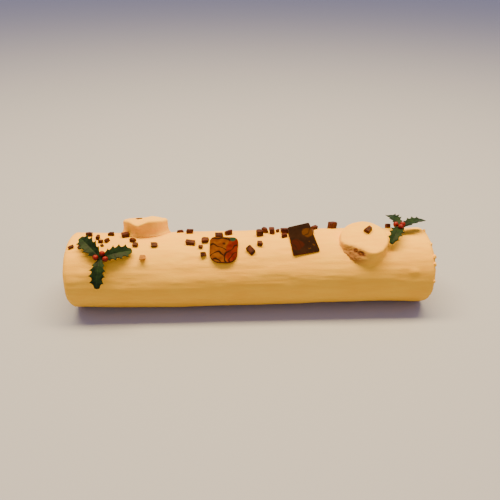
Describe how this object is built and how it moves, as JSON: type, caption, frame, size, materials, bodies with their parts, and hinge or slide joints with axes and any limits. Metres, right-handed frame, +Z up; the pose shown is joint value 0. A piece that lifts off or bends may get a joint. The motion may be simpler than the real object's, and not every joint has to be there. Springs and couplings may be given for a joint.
{
  "type": "yule log cake",
  "caption": "Cream-coated yule log cake with branch stumps, holly sprigs, chocolate plaques and strewn chocolate chunks.",
  "frame": {"origin": "middle of the flattened underside of the log", "axes": "+X along the log to the end by the right-hand sprig, -Y to the front, +Z up"},
  "size_m": [0.346, 0.088, 0.0816],
  "materials": {
    "cream_coating": "smooth, slightly shiny white chocolate cream",
    "marbled_chocolate": "glossy marbled chocolate in amber, red, dark brown and a little green",
    "dark_chocolate": "glossy dark chocolate",
    "leaf_plastic": "moulded dark green plastic",
    "berry_plastic": "glossy red plastic"
  },
  "bodies": {
    "root": {"log": "cream_coating", "stump_left": "cream_coating", "stump_right": "cream_coating", "plaque_left": "marbled_chocolate", "plaque_right": "dark_chocolate", "holly_left": "leaf_plastic", "holly_left_berry_1": "berry_plastic", "holly_left_berry_2": "berry_plastic", "holly_left_berry_3": "berry_plastic", "holly_right": "leaf_plastic", "holly_right_berry_1": "berry_plastic", "holly_right_berry_2": "berry_plastic", "holly_right_berry_3": "berry_plastic"}
  },
  "joints": []
}
